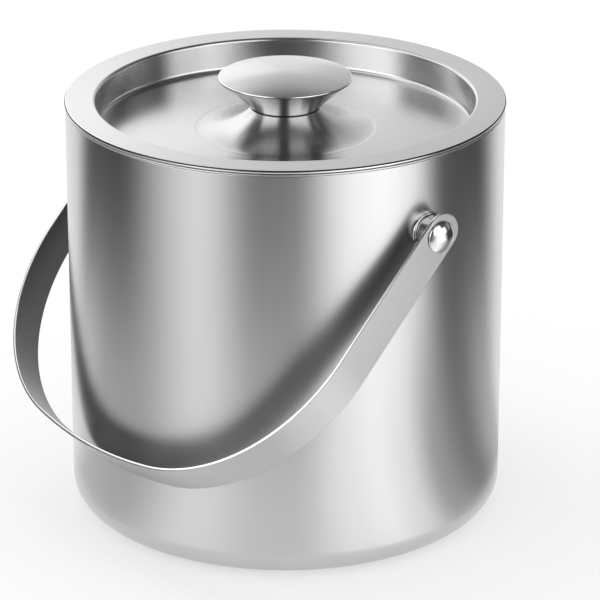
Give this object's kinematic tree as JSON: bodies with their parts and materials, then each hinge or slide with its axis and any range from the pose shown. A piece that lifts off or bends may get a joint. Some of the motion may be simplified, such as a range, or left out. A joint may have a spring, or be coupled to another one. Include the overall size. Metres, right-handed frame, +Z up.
{
  "type": "ice bucket",
  "caption": "Double-walled round steel ice bucket with a recessed lift-off lid, a flared knob and a swinging strap handle.",
  "frame": {"origin": "centre of the base's underside, on the surface the bucket stands on", "axes": "+Z up the bucket's axis, +X along the handle's pivot axis, the handle hangs down towards -Y"},
  "size_m": [0.2038, 0.193, 0.1875],
  "materials": {
    "wall_steel": "brushed around the wall",
    "base_steel": "satin",
    "liner_steel": "satin",
    "lid_steel": "brushed in circles",
    "knob_steel": "brushed in circles",
    "strap_steel": "brushed along the strap",
    "polished_steel": "mirror polished",
    "fastener_steel": "plain machined"
  },
  "bodies": {
    "bucket": {"outer_shell": "wall_steel", "base_plate": "base_steel", "inner_liner": "liner_steel", "pivot_seat_right": "polished_steel", "pivot_spacer_right": "polished_steel", "pivot_stud_right": "polished_steel", "backing_washer_right": "fastener_steel", "lock_nut_right": "fastener_steel", "pivot_seat_left": "polished_steel", "pivot_spacer_left": "polished_steel", "pivot_stud_left": "polished_steel", "backing_washer_left": "fastener_steel", "lock_nut_left": "fastener_steel"},
    "handle": {"bail_strap": "strap_steel"},
    "lid": {"lid_pan": "lid_steel", "knob_body": "knob_steel", "knob_cap": "knob_steel", "knob_bush": "fastener_steel", "knob_screw": "fastener_steel", "knob_washer": "fastener_steel"}
  },
  "joints": [
    {"name": "handle_swing", "type": "hinge", "parent": "bucket", "child": "handle", "pos_m": [0, 0, 0.1434], "axis": [-1, 0, 0], "range_deg": [0, 272.3]},
    {"name": "lid_lift", "type": "slide", "parent": "bucket", "child": "lid", "axis": [0, 0, 1], "range_m": [0, 0.09]}
  ]
}
